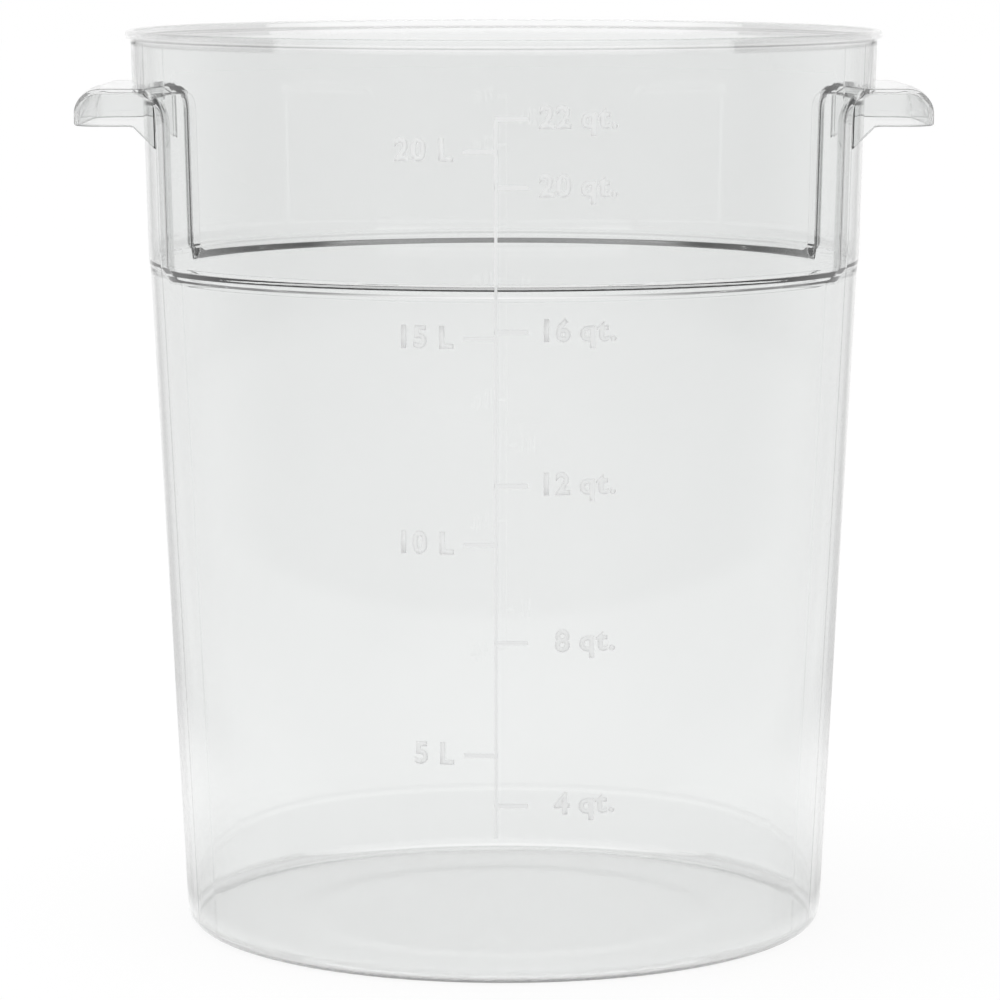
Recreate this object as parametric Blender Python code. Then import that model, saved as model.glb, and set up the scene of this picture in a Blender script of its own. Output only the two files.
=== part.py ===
"""Round clear food storage container of the 22 quart class, at its real size.

The container is one thin moulding. It stands on its base, +Z up, with its origin at the middle of
the base. The two handles point along X and the volume scale faces -Y. The moulding is divided where
its own features begin: tub, rim, two handles and the raised scale. Divided faces keep a small gap.
"""
import math

import bmesh
import bpy

MM = 0.001

# Whole container
OVERALL_HEIGHT = 375.0 * MM
WALL = 2.3 * MM
FLOOR = 3.8 * MM
SEAM = 0.3 * MM
CUT_OVERRUN = 5.0 * MM
COLUMN_ARC = 13.0 * MM
FILLET_STEPS = 4

# Base and lower wall
BASE_FLAT_RADIUS = 128.2 * MM
BASE_CORNER = 6.0 * MM
FLOOR_FILLET = 5.5 * MM
LOWER_WALL_TOP_RADIUS = 146.8 * MM

# Shoulder and upper band
SHOULDER_HEIGHT = 274.5 * MM
SHOULDER_RISE = 6.5 * MM
BAND_BOTTOM_RADIUS = 152.9 * MM
BAND_TOP_RADIUS = 154.9 * MM

# Rim
RIM_OVERHANG = 2.4 * MM
RIM_HEIGHT = 3.6 * MM
RIM_ROUNDING = 1.4 * MM
RIM_INNER_ROUNDING = 0.7 * MM

# Finger recess in the band, behind each handle
RECESS_DEPTH = 4.5 * MM
RECESS_SIDE_ROOM = 15.0 * MM
RECESS_SIDE_SLOPE = 6.0 * MM
RECESS_CEILING_SLOPE = 2.6 * MM

# Handles
HANDLE_BELOW_RIM = 23.0 * MM
HANDLE_WIDTH = 94.0 * MM
HANDLE_REACH = 23.6 * MM
HANDLE_DROP = 15.4 * MM
HANDLE_WALL = 2.4 * MM
HANDLE_BOW = 2.0 * MM
HANDLE_TOP_ROUNDING = 12.0 * MM
HANDLE_CORNER_ROUNDING = 13.0 * MM
HANDLE_LIP_ROUNDING = 1.1 * MM
HANDLE_GUSSET = 9.3 * MM
BOW_STEPS = 6

# Volume scale on the front wall
SCALE_RELIEF = 0.4 * MM
SCALE_LINE_WIDTH = 1.0 * MM
SCALE_LINE_OFFSET = 3.1 * MM
SCALE_LINE_END_SHARE = 0.161
TICK_LENGTH = 12.0 * MM
TICK_HEIGHT = 0.9 * MM
TICK_STEPS = 3
QUART_MARK_SHARES = (0.1963, 0.3712, 0.5379, 0.6987, 0.8493, 0.9195)
LITRE_MARK_SHARES = (0.2504, 0.4752, 0.6917, 0.8861)

# Heights and radii that follow from the sizes above
RIM_OUTER_RADIUS = BAND_TOP_RADIUS + RIM_OVERHANG
SHOULDER_TOP = SHOULDER_HEIGHT + SHOULDER_RISE
BAND_TOP = OVERALL_HEIGHT - RIM_HEIGHT - SEAM
HANDLE_TOP = OVERALL_HEIGHT - HANDLE_BELOW_RIM
RECESS_TOP = HANDLE_TOP - HANDLE_WALL

# Looks
CLEAR_COLOUR = (0.86, 0.89, 0.88, 1.0)
CLEAR_ROUGHNESS = 0.04
CLEAR_INDEX = 1.585
SCALE_COLOUR = (0.80, 0.83, 0.82, 1.0)
SCALE_ROUGHNESS = 0.45
SHARP_ANGLE = math.radians(32.0)


def blend(low, high, share):
    """The value that lies the given share of the way from low to high."""
    return low + (high - low) * share


def ease(share):
    """A share that leaves 0 and reaches 1 smoothly."""
    return share * share * (3.0 - 2.0 * share)


def lower_wall_radius(height):
    """Outer radius of the tapered lower wall at a height."""
    share = (height - BASE_CORNER) / (SHOULDER_HEIGHT - BASE_CORNER)
    return blend(BASE_FLAT_RADIUS + BASE_CORNER, LOWER_WALL_TOP_RADIUS, share)


def band_radius(height):
    """Outer radius of the upper band at a height."""
    share = (height - SHOULDER_TOP) / (BAND_TOP - SHOULDER_TOP)
    return blend(BAND_BOTTOM_RADIUS, BAND_TOP_RADIUS, share)


def recess_radius(height):
    """Outer radius of the floor of a finger recess at a height."""
    return band_radius(height) - RECESS_DEPTH


def recess_angles(wall_offset):
    """Angles from a handle's axis to the end of the recess floor and to the start of the plain band."""
    radius = recess_radius(RECESS_TOP)
    floor_half_width = HANDLE_WIDTH / 2 + RECESS_SIDE_ROOM + wall_offset
    floor_end = math.asin(floor_half_width / radius)
    return floor_end, floor_end + RECESS_SIDE_SLOPE / radius


def recess_share(angle, wall_offset):
    """How much of the recess an angle has: 1 on the recess floor, 0 on the plain band."""
    from_handle = abs((angle + math.pi / 2) % math.pi - math.pi / 2)
    floor_end, band_start = recess_angles(wall_offset)
    share = (band_start - from_handle) / (band_start - floor_end)
    return min(1.0, max(0.0, share))


def column_angles():
    """Angles of the mesh columns round the container, closer together at the sides of the recesses."""
    outer_floor_end, outer_band_start = recess_angles(0.0)
    inner_floor_end, inner_band_start = recess_angles(WALL)
    stops = (0.0, outer_floor_end, inner_floor_end, outer_band_start, inner_band_start, math.pi / 2)
    quarter = []
    for low, high in zip(stops, stops[1:]):
        pieces = max(1, round((high - low) * BAND_TOP_RADIUS / COLUMN_ARC))
        for step in range(pieces):
            quarter.append(blend(low, high, step / pieces))
    half = quarter + [math.pi - angle for angle in reversed(quarter[1:] + [math.pi / 2])]
    return half + [math.pi + angle for angle in half]


def upper_radius(height, share, ceiling):
    """Radius of the band with its recess; ceiling is the height at which the recess has closed."""
    fade = min(1.0, max(0.0, (ceiling - height) / RECESS_CEILING_SLOPE))
    return band_radius(height) - RECESS_DEPTH * share * ease(fade)


def arc(centre, radius, start, end):
    """Points of a round corner in a section, both ends included."""
    points = []
    for step in range(FILLET_STEPS + 1):
        angle = math.radians(blend(start, end, step / FILLET_STEPS))
        points.append((centre[0] + radius * math.cos(angle), centre[1] + radius * math.sin(angle)))
    return points


def shell_heights(lift):
    """Heights of the mesh rows from the shoulder to the band's top; lift raises the inner surface's rows."""
    shoulder = [SHOULDER_HEIGHT + lift + SHOULDER_RISE * step / FILLET_STEPS for step in range(FILLET_STEPS + 1)]
    ceiling = RECESS_TOP + lift
    rows = [ceiling - RECESS_CEILING_SLOPE * (1 - step / FILLET_STEPS) for step in range(FILLET_STEPS + 1)]
    return shoulder, rows + [BAND_TOP]


def outer_section(share):
    """Outer points (radius, height) from the base's flat up to the band's top, at one angle."""
    points = arc((BASE_FLAT_RADIUS, BASE_CORNER), BASE_CORNER, -90.0, 0.0)
    shoulder, upper = shell_heights(0.0)
    for step, height in enumerate(shoulder):
        top = upper_radius(SHOULDER_TOP, share, RECESS_TOP)
        points.append((blend(LOWER_WALL_TOP_RADIUS, top, ease(step / FILLET_STEPS)), height))
    for height in upper:
        points.append((upper_radius(height, share, RECESS_TOP), height))
    return points


def inner_section(share):
    """Inner points (radius, height) from the band's top down to the floor, at one angle."""
    lift = WALL / 2
    ceiling = RECESS_TOP + WALL
    shoulder, upper = shell_heights(lift)
    upper = [height + WALL - lift for height in upper[:-1]] + [BAND_TOP]
    points = []
    for height in reversed(upper):
        points.append((upper_radius(height, share, ceiling) - WALL, height))
    for step, height in reversed(list(enumerate(shoulder))):
        top = upper_radius(SHOULDER_TOP, share, ceiling)
        points.append((blend(LOWER_WALL_TOP_RADIUS, top, ease(step / FILLET_STEPS)) - WALL, height))
    fillet_height = FLOOR + FLOOR_FILLET
    fillet_radius = lower_wall_radius(fillet_height) - WALL - FLOOR_FILLET
    points += arc((fillet_radius, fillet_height), FLOOR_FILLET, 0.0, -90.0)
    return points


def clear_material(name, colour, roughness):
    """Clear or frosted moulded plastic."""
    material = bpy.data.materials.new(name)
    material.use_nodes = True
    shader = material.node_tree.nodes["Principled BSDF"]
    shader.inputs["Base Color"].default_value = colour
    shader.inputs["Roughness"].default_value = roughness
    shader.inputs["Metallic"].default_value = 0.0
    shader.inputs["IOR"].default_value = CLEAR_INDEX
    shader.inputs["Transmission Weight"].default_value = 1.0
    return material


def add_object(name, work, material=None):
    """A named object from a bmesh, with faces turned outwards and round parts shaded smooth."""
    bmesh.ops.recalc_face_normals(work, faces=work.faces)
    mesh = bpy.data.meshes.new(name)
    work.to_mesh(mesh)
    work.free()
    mesh.shade_smooth()
    mesh.set_sharp_from_angle(angle=SHARP_ANGLE)
    if material:
        mesh.materials.append(material)
    item = bpy.data.objects.new(name, mesh)
    bpy.context.collection.objects.link(item)
    return item


def ring_of_vertices(work, points, angles):
    """One vertex for each pair of a section point and an angle."""
    ring = []
    for (radius, height), angle in zip(points, angles):
        ring.append(work.verts.new((radius * math.cos(angle), radius * math.sin(angle), height)))
    return ring


def bridge(work, lower, upper):
    """Quads between two closed rings of vertices."""
    for index in range(len(lower)):
        after = (index + 1) % len(lower)
        work.faces.new((lower[index], lower[after], upper[after], upper[index]))


def fan(work, ring, height):
    """Triangles from a closed ring to a vertex on the axis."""
    centre = work.verts.new((0.0, 0.0, height))
    for index in range(len(ring)):
        work.faces.new((ring[index], ring[(index + 1) % len(ring)], centre))


def make_tub(material):
    """The thin shell: floor, lower wall, shoulder, band and the two finger recesses."""
    angles = column_angles()
    columns = []
    for angle in angles:
        outer = outer_section(ease(recess_share(angle, 0.0)))
        inner = inner_section(ease(recess_share(angle, WALL)))
        columns.append(outer + inner)
    work = bmesh.new()
    rings = [ring_of_vertices(work, row, angles) for row in zip(*columns)]
    for lower, upper in zip(rings, rings[1:]):
        bridge(work, lower, upper)
    fan(work, rings[0], 0.0)
    fan(work, rings[-1], FLOOR)
    return add_object("tub", work, material)


def turned(work, section, angles):
    """A closed section (radius, height) turned round the axis, as a closed ring."""
    rings = [ring_of_vertices(work, [point] * len(angles), angles) for point in section]
    for lower, upper in zip(rings, rings[1:] + rings[:1]):
        bridge(work, lower, upper)


def make_rim(material):
    """The outward flange on top of the band, with a rounded outer edge."""
    bottom = BAND_TOP + SEAM
    inner = BAND_TOP_RADIUS - WALL
    outside = RIM_OUTER_RADIUS - RIM_ROUNDING
    section = arc((outside, bottom + RIM_ROUNDING), RIM_ROUNDING, -90.0, 0.0)
    section += arc((outside, OVERALL_HEIGHT - RIM_ROUNDING), RIM_ROUNDING, 0.0, 90.0)
    inside = (inner + RIM_INNER_ROUNDING, OVERALL_HEIGHT - RIM_INNER_ROUNDING)
    section += arc(inside, RIM_INNER_ROUNDING, 90.0, 180.0)
    section.append((inner, bottom))
    work = bmesh.new()
    turned(work, section, column_angles())
    return add_object("rim", work, material)


def prism(work, outline, low, high, place):
    """An outline swept from low to high; place turns an outline point and a sweep value into a point."""
    start = [work.verts.new(place(point, low)) for point in outline]
    end = [work.verts.new(place(point, high)) for point in outline]
    bridge(work, start, end)
    work.faces.new(start)
    work.faces.new(list(reversed(end)))


def handle_edge():
    """How far out the handle's outer edge lies at its middle."""
    return band_radius(HANDLE_TOP) + HANDLE_REACH


def handle_root():
    """How far out the recess floor lies where an end wall of the handle meets it."""
    return math.sqrt(recess_radius(RECESS_TOP) ** 2 - (HANDLE_WIDTH / 2) ** 2)


def side_view(inset, bottom, gusset):
    """Outline (x, z) of the handle seen from its end, moved in by inset, down to bottom."""
    edge = handle_edge() - inset
    top = HANDLE_TOP - inset
    rounding = HANDLE_TOP_ROUNDING - inset
    root = handle_root() - CUT_OVERRUN
    outline = [(root, top)]
    outline += arc((edge - rounding, top - rounding), rounding, 90.0, 0.0)
    if not gusset:
        return outline + [(edge, bottom), (root, bottom)]
    lip = HANDLE_LIP_ROUNDING
    outline += arc((edge - lip, bottom + lip), lip, 0.0, -90.0)
    outline.append((handle_root() + HANDLE_GUSSET, bottom))
    outline.append((root, bottom - HANDLE_GUSSET - CUT_OVERRUN))
    return outline


def plan_view(inset, overrun):
    """Outline (x, y) of the handle seen from above, moved in by inset, with its slightly bowed edge."""
    edge = handle_edge() - inset - HANDLE_BOW
    half = HANDLE_WIDTH / 2 - inset
    rounding = HANDLE_CORNER_ROUNDING - inset
    root = handle_root() - CUT_OVERRUN - overrun
    outline = [(root, -half)]
    outline += arc((edge - rounding, rounding - half), rounding, -90.0, 0.0)
    for step in range(1, BOW_STEPS):
        share = step / BOW_STEPS
        bow = HANDLE_BOW * (1 - (2 * share - 1) ** 2)
        outline.append((edge + bow, blend(rounding - half, half - rounding, share)))
    outline += arc((edge - rounding, half - rounding), rounding, 0.0, 90.0)
    outline.append((root, half))
    return outline


def as_cutter(item):
    """Marks an object that only cuts others."""
    item.hide_render = True
    item.display_type = "WIRE"
    return item


def cut(item, operation, other):
    """Adds a Boolean of another object to an object."""
    modifier = item.modifiers.new(other.name, "BOOLEAN")
    modifier.operation = operation
    modifier.solver = "EXACT"
    modifier.object = other


def handle_solid(name, inset, bottom, gusset):
    """The handle's outer form, or with an inset its hollow, as a side view swept across the width."""
    across = HANDLE_WIDTH / 2 + CUT_OVERRUN
    work = bmesh.new()
    prism(work, side_view(inset, bottom, gusset), -across, across, lambda point, sweep: (point[0], sweep, point[1]))
    solid = add_object(name, work)
    work = bmesh.new()
    overrun = CUT_OVERRUN
    low = bottom - HANDLE_GUSSET - 2 * CUT_OVERRUN
    prism(work, plan_view(inset, overrun), low, HANDLE_TOP + CUT_OVERRUN, lambda point, sweep: (*point, sweep))
    plan = as_cutter(add_object(name + "_plan", work))
    cut(solid, "INTERSECT", plan)
    return solid


def make_wall_cutter():
    """The space of the tub, grown by the gap, that each handle stops short of."""
    low = HANDLE_TOP - HANDLE_DROP - HANDLE_GUSSET - 2 * CUT_OVERRUN
    turn = RECESS_TOP - RECESS_CEILING_SLOPE - SEAM
    high = HANDLE_TOP + CUT_OVERRUN
    section = [(recess_radius(low) + SEAM, low), (recess_radius(turn) + SEAM, turn)]
    section += [(band_radius(turn) + SEAM, turn), (band_radius(high) + SEAM, high)]
    angles = column_angles()
    work = bmesh.new()
    rings = [ring_of_vertices(work, [point] * len(angles), angles) for point in section]
    for lower, upper in zip(rings, rings[1:]):
        bridge(work, lower, upper)
    fan(work, rings[0], low)
    fan(work, rings[-1], high)
    return as_cutter(add_object("wall_cutter", work))


def make_handles(material):
    """Both grips: inverted trays with a turned-down lip, end walls and a gusset at each end."""
    bottom = HANDLE_TOP - HANDLE_DROP
    wall_cutter = make_wall_cutter()
    hollow_bottom = bottom - HANDLE_GUSSET - CUT_OVERRUN
    hollow = as_cutter(handle_solid("handle_hollow", HANDLE_WALL, hollow_bottom, False))
    right = handle_solid("handle_right", 0.0, bottom, True)
    cut(right, "DIFFERENCE", hollow)
    cut(right, "DIFFERENCE", wall_cutter)
    right.data.materials.append(material)
    bpy.context.view_layer.update()
    shape = bpy.data.meshes.new_from_object(right.evaluated_get(bpy.context.evaluated_depsgraph_get()))
    right.modifiers.clear()
    right.data = shape
    left = bpy.data.objects.new("handle_left", shape)
    left.rotation_euler.z = math.pi
    bpy.context.collection.objects.link(left)
    return left, right


def scale_edges():
    """Sideways and upright grid lines of the volume scale, before it is laid on the wall."""
    right = SCALE_LINE_WIDTH / 2
    sideways = [-right, right]
    for step in range(1, TICK_STEPS + 1):
        reach = right + TICK_LENGTH * step / TICK_STEPS
        sideways = [-reach] + sideways + [reach]
    upright = {SCALE_LINE_END_SHARE * OVERALL_HEIGHT}
    for share in QUART_MARK_SHARES + LITRE_MARK_SHARES:
        middle = share * OVERALL_HEIGHT
        upright |= {middle - TICK_HEIGHT / 2, middle + TICK_HEIGHT / 2}
    top = max(upright)
    upright |= {height for height in shell_heights(0.0)[0] if height < top}
    return sideways, sorted(upright)


def in_tick(height, shares):
    """Whether a height lies in a tick of the given marks."""
    return any(abs(height - share * OVERALL_HEIGHT) < TICK_HEIGHT / 2 for share in shares)


def front_wall_radius(height):
    """Outer radius of the wall at the front, where there is no recess."""
    section = outer_section(0.0)
    for (low_radius, low), (high_radius, high) in zip(section, section[1:]):
        if low <= height <= high:
            return blend(low_radius, high_radius, (height - low) / (high - low))
    return section[-1][0]


def make_scale(material):
    """The raised graduation: one upright line with quart ticks at its right and litre ticks at its left."""
    sideways, upright = scale_edges()
    work = bmesh.new()
    grid = [[work.verts.new((across, 0.0, height)) for across in sideways] for height in upright]
    line_column = len(sideways) // 2 - 1
    for row, (low, high) in enumerate(zip(upright, upright[1:])):
        middle = (low + high) / 2
        for column in range(len(sideways) - 1):
            quart = column > line_column and in_tick(middle, QUART_MARK_SHARES)
            litre = column < line_column and in_tick(middle, LITRE_MARK_SHARES)
            if column == line_column or quart or litre:
                corners = (grid[row][column], grid[row][column + 1], grid[row + 1][column + 1], grid[row + 1][column])
                work.faces.new(corners)
    bmesh.ops.delete(work, geom=[vertex for vertex in work.verts if not vertex.link_faces], context="VERTS")
    front = bmesh.ops.extrude_face_region(work, geom=work.faces[:])["geom"]
    raised = {item for item in front if isinstance(item, bmesh.types.BMVert)}
    for vertex in work.verts:
        across, _, height = vertex.co
        wall = front_wall_radius(height)
        radius = wall + SEAM + (SCALE_RELIEF if vertex in raised else 0.0)
        angle = (across - SCALE_LINE_OFFSET) / wall
        vertex.co = (radius * math.sin(angle), -radius * math.cos(angle), height)
    return add_object("volume_scale", work, material)


def main():
    for item in list(bpy.data.objects):
        bpy.data.objects.remove(item)
    clear = clear_material("clear_plastic", CLEAR_COLOUR, CLEAR_ROUGHNESS)
    frosted = clear_material("frosted_mark", SCALE_COLOUR, SCALE_ROUGHNESS)
    make_tub(clear)
    make_rim(clear)
    make_handles(clear)
    make_scale(frosted)


main()
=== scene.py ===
"""Looks of the round clear food storage container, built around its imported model.

The real container is one clear moulding, so one closed mesh stands for the tub, the rim and both grips, and
no face lies inside the plastic. The volume scale stands on its front wall. Lengths are in metres, +Z is up,
and the scale faces -Y.
"""
import math

import bmesh
import bpy
import numpy as np
from mathutils import Matrix, Vector


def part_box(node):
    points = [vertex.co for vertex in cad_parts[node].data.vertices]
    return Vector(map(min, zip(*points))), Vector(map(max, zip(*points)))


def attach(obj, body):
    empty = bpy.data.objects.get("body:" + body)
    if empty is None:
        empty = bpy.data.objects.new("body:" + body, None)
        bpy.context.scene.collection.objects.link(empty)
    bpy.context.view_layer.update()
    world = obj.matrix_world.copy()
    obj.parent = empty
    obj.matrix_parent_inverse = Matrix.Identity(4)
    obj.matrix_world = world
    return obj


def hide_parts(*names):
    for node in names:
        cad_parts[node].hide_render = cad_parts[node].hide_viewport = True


bl_info = {
    "name": "Clear food storage container",
    "version": (1, 0, 0),
    "blender": (4, 5, 0),
    "location": "View3D > Sidebar > Container",
    "description": "Builds a clear round container with its grips, volume scale and studio",
    "category": "Object",
}

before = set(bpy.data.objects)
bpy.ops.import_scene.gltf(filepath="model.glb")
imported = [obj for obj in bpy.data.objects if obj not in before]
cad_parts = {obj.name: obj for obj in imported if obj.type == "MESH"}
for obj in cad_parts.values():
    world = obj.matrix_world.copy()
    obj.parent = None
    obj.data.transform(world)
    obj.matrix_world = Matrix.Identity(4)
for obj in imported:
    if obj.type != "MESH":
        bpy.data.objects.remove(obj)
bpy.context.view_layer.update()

MM = 0.001

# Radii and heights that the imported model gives
RIM_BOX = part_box("rim")
GRIP_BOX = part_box("handle_right")
TOP_HEIGHT = RIM_BOX[1].z
RIM_RADIUS = RIM_BOX[1].y
GRIP_TIP = GRIP_BOX[1].x
GRIP_HALF_WIDTH = GRIP_BOX[1].y
GRIP_TOP_HEIGHT = GRIP_BOX[1].z
GRIP_FOOT_HEIGHT = GRIP_BOX[0].z


class MouldingSizes(bpy.types.PropertyGroup):
    """Sizes of the clear moulding."""

    wall: bpy.props.FloatProperty(name="Wall", description="Wall thickness", default=2.0 * MM, unit="LENGTH")
    floor: bpy.props.FloatProperty(
        name="Floor", description="Floor thickness in the middle", default=1.8 * MM, unit="LENGTH")
    base_flat: bpy.props.FloatProperty(
        name="Base flat", description="Radius of the flat base", default=127.7 * MM, unit="LENGTH")
    base_corner: bpy.props.FloatProperty(
        name="Base corner", description="Radius of the rounded edge of the base", default=6.5 * MM,
        unit="LENGTH")
    floor_fillet: bpy.props.FloatProperty(
        name="Floor fillet", description="Radius between floor and wall inside", default=2.6 * MM,
        unit="LENGTH")
    wall_top: bpy.props.FloatProperty(
        name="Lower wall top", description="Outer radius of the lower wall under the shoulder",
        default=147.3 * MM, unit="LENGTH")
    shoulder: bpy.props.FloatProperty(
        name="Shoulder", description="Height at which the shoulder starts outside", default=274.45 * MM,
        unit="LENGTH")
    shoulder_rise: bpy.props.FloatProperty(
        name="Shoulder rise", description="Height of the slope outside", default=6.3 * MM, unit="LENGTH")
    shoulder_roundings: bpy.props.FloatVectorProperty(
        name="Shoulder roundings", description="Radii at the slope's foot and top",
        default=(2.9 * MM, 2.1 * MM), size=2, unit="LENGTH")
    shelf: bpy.props.FloatProperty(
        name="Shelf", description="Height of the shelf inside at the lower wall", default=279.05 * MM,
        unit="LENGTH")
    shelf_rise: bpy.props.FloatProperty(
        name="Shelf rise", description="How far the shelf climbs towards the band", default=1.35 * MM,
        unit="LENGTH")
    shelf_roundings: bpy.props.FloatVectorProperty(
        name="Shelf roundings", description="Radii at the shelf's inner and outer edge",
        default=(2.5 * MM, 1.0 * MM), size=2, unit="LENGTH")
    band_bottom: bpy.props.FloatProperty(
        name="Band bottom", description="Outer radius of the band over the shoulder",
        default=152.55 * MM, unit="LENGTH")
    band_top: bpy.props.FloatProperty(
        name="Band top", description="Outer radius of the band under the rim", default=154.9 * MM,
        unit="LENGTH")
    rim_height: bpy.props.FloatProperty(
        name="Rim height", description="Thickness of the flange", default=3.6 * MM, unit="LENGTH")
    rim_rounding: bpy.props.FloatProperty(
        name="Rim rounding", description="Rounding of the flange's outer edge", default=1.4 * MM,
        unit="LENGTH")
    rim_inner_rounding: bpy.props.FloatProperty(
        name="Mouth rounding", description="Rounding of the mouth's inner edge", default=0.8 * MM,
        unit="LENGTH")
    recess_depth: bpy.props.FloatProperty(
        name="Recess depth", description="Depth of the finger recess", default=4.43 * MM, unit="LENGTH")
    recess_half_width: bpy.props.FloatProperty(
        name="Recess half width", description="Half the width of the recess floor outside",
        default=59.9 * MM, unit="LENGTH")
    recess_side: bpy.props.FloatProperty(
        name="Recess side", description="Width of the recess's sloping side outside", default=3.0 * MM,
        unit="LENGTH")
    recess_roundings: bpy.props.FloatVectorProperty(
        name="Recess roundings", description="Radii at the outside foot and top of the sloping side",
        default=(0.35 * MM, 5.6 * MM), size=2, unit="LENGTH")
    recess_inner_half_width: bpy.props.FloatProperty(
        name="Recess inner half width", description="Half the width of the recess floor inside",
        default=68.4 * MM, unit="LENGTH")
    recess_inner_side: bpy.props.FloatProperty(
        name="Recess inner side", description="Width of the recess's sloping side inside", default=3.1 * MM,
        unit="LENGTH")
    recess_inner_roundings: bpy.props.FloatVectorProperty(
        name="Recess inner roundings", description="Radii at the inside foot and top of the sloping side",
        default=(3.2 * MM, 0.3 * MM), size=2, unit="LENGTH")
    recess_corner: bpy.props.FloatProperty(
        name="Recess corner", description="Rounding of the recess's upper corners", default=8.0 * MM,
        unit="LENGTH")


class GripSizes(bpy.types.PropertyGroup):
    """Sizes of the two grips."""

    thickness: bpy.props.FloatProperty(
        name="Wall", description="Wall of the grip", default=2.0 * MM, unit="LENGTH")
    bow: bpy.props.FloatProperty(
        name="Bow", description="How far the front edge bows out", default=2.0 * MM, unit="LENGTH")
    front_rounding: bpy.props.FloatProperty(
        name="Front rounding", description="Rounding of the top's front edge", default=12.0 * MM,
        unit="LENGTH")
    side_rounding: bpy.props.FloatProperty(
        name="Side rounding", description="Rounding of the top's two side edges", default=0.4 * MM,
        unit="LENGTH")
    corner: bpy.props.FloatProperty(
        name="Corner", description="Rounding of the grip's corners in plan", default=13.0 * MM, unit="LENGTH")
    drop: bpy.props.FloatProperty(
        name="Drop", description="Height of the grip's lip", default=15.4 * MM, unit="LENGTH")
    gusset: bpy.props.FloatProperty(
        name="Gusset", description="Size of the slanting foot of each end wall", default=9.3 * MM,
        unit="LENGTH")
    lip_rounding: bpy.props.FloatProperty(
        name="Lip rounding", description="Rounding of the lip's lower edge", default=0.9 * MM, unit="LENGTH")


class MarkSizes(bpy.types.PropertyGroup):
    """Sizes of the volume scale."""

    relief: bpy.props.FloatProperty(
        name="Relief", description="Height over the wall", default=0.25 * MM, unit="LENGTH")
    line: bpy.props.FloatProperty(
        name="Line", description="Width of the upright line", default=1.2 * MM, unit="LENGTH")
    side_shift: bpy.props.FloatProperty(
        name="Side shift", description="Distance of the line from the middle", default=-3.1 * MM,
        unit="LENGTH")
    tick_length: bpy.props.FloatProperty(
        name="Tick length", description="Length of a tick", default=12.0 * MM, unit="LENGTH")
    tick_height: bpy.props.FloatProperty(
        name="Tick height", description="Thickness of a tick", default=1.6 * MM, unit="LENGTH")
    figure_height: bpy.props.FloatProperty(
        name="Figure height", description="Height of a numeral", default=9.2 * MM, unit="LENGTH")
    figure_width: bpy.props.FloatProperty(
        name="Figure width", description="Width of a numeral against the font's own", default=0.98)
    figure_rise: bpy.props.FloatProperty(
        name="Figure rise", description="Middle of a numeral over its tick", default=1.2 * MM, unit="LENGTH")
    digits_edge: bpy.props.FloatProperty(
        name="Quart digits", description="Right edge of the quart digits", default=26.0 * MM, unit="LENGTH")
    unit_width: bpy.props.FloatProperty(
        name="Unit width", description="Width of the quart unit against the font's own", default=1.06)
    unit_edge: bpy.props.FloatProperty(
        name="Quart unit", description="Left edge of the quart unit", default=29.8 * MM, unit="LENGTH")
    litre_digits_edge: bpy.props.FloatProperty(
        name="Litre digits", description="Right edge of the litre digits", default=-30.2 * MM, unit="LENGTH")
    litre_unit_edge: bpy.props.FloatProperty(
        name="Litre unit", description="Left edge of the litre unit", default=-25.2 * MM, unit="LENGTH")


class FinishSettings(bpy.types.PropertyGroup):
    """Colours and gloss of the plastic."""

    clear: bpy.props.FloatVectorProperty(
        name="Clear", description="Tint of the clear plastic", default=(0.956, 0.963, 0.960), size=3,
        subtype="COLOR", min=0.0, max=1.0)
    cloud: bpy.props.FloatProperty(
        name="Cloud", description="How much the clear plastic's tone drifts across it", default=0.008,
        subtype="FACTOR")
    refraction: bpy.props.FloatProperty(
        name="Refraction", description="Index of refraction of the plastic", default=1.585)
    roughness: bpy.props.FloatProperty(
        name="Roughness", description="Roughness of the polished faces", default=0.0, subtype="FACTOR")
    underside: bpy.props.FloatProperty(
        name="Underside", description="Roughness of the frosted underside", default=0.12, subtype="FACTOR")
    grip_cover: bpy.props.FloatProperty(
        name="Grip cover", description="How much of the view the grips bend", default=0.9, subtype="FACTOR")
    rim_cover: bpy.props.FloatProperty(
        name="Rim cover", description="How much of the view the rim bends", default=0.4, subtype="FACTOR")
    edge_cover: bpy.props.FloatProperty(
        name="Edge cover", description="How much of the view the lower edge bends", default=0.7,
        subtype="FACTOR")
    frosted: bpy.props.FloatVectorProperty(
        name="Frosted", description="Colour of the frosted marks", default=(0.97, 0.98, 0.975), size=3,
        subtype="COLOR", min=0.0, max=1.0)


class StageSettings(bpy.types.PropertyGroup):
    """Camera and studio."""

    lens: bpy.props.FloatProperty(name="Lens", description="Focal length in millimetres", default=164.59)
    distance: bpy.props.FloatProperty(
        name="Distance", description="Camera's distance in front of the axis", default=1.9105, unit="LENGTH")
    height: bpy.props.FloatProperty(
        name="Height", description="Camera's height over the floor", default=0.4279, unit="LENGTH")
    pitch: bpy.props.FloatProperty(
        name="Pitch", description="How far the camera looks down", default=math.radians(7.47),
        unit="ROTATION")
    shift: bpy.props.FloatProperty(name="Shift", description="Sideways shift of the frame", default=-0.0039)


# How finely rounded corners are drawn
FILLET_STEPS = 8
BASE_ARC_STEPS = 12
MOUTH_ARC_STEPS = 6
SMALL_ARC_STEPS = 4
# Straight length at each end of a step before its two corners are rounded
STEP_TAIL = 20 * MM


def ease(share):
    """A share that leaves 0 and reaches 1 smoothly."""
    share = np.clip(share, 0.0, 1.0)
    return share * share * (3.0 - 2.0 * share)


def after_start(start, end, count):
    """Evenly spaced values from a start, which is left out, to an end."""
    return np.linspace(start, end, count + 1)[1:]


def unit(vector):
    """The direction of a flat vector, with a length of one."""
    return vector / np.hypot(*vector)


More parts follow.
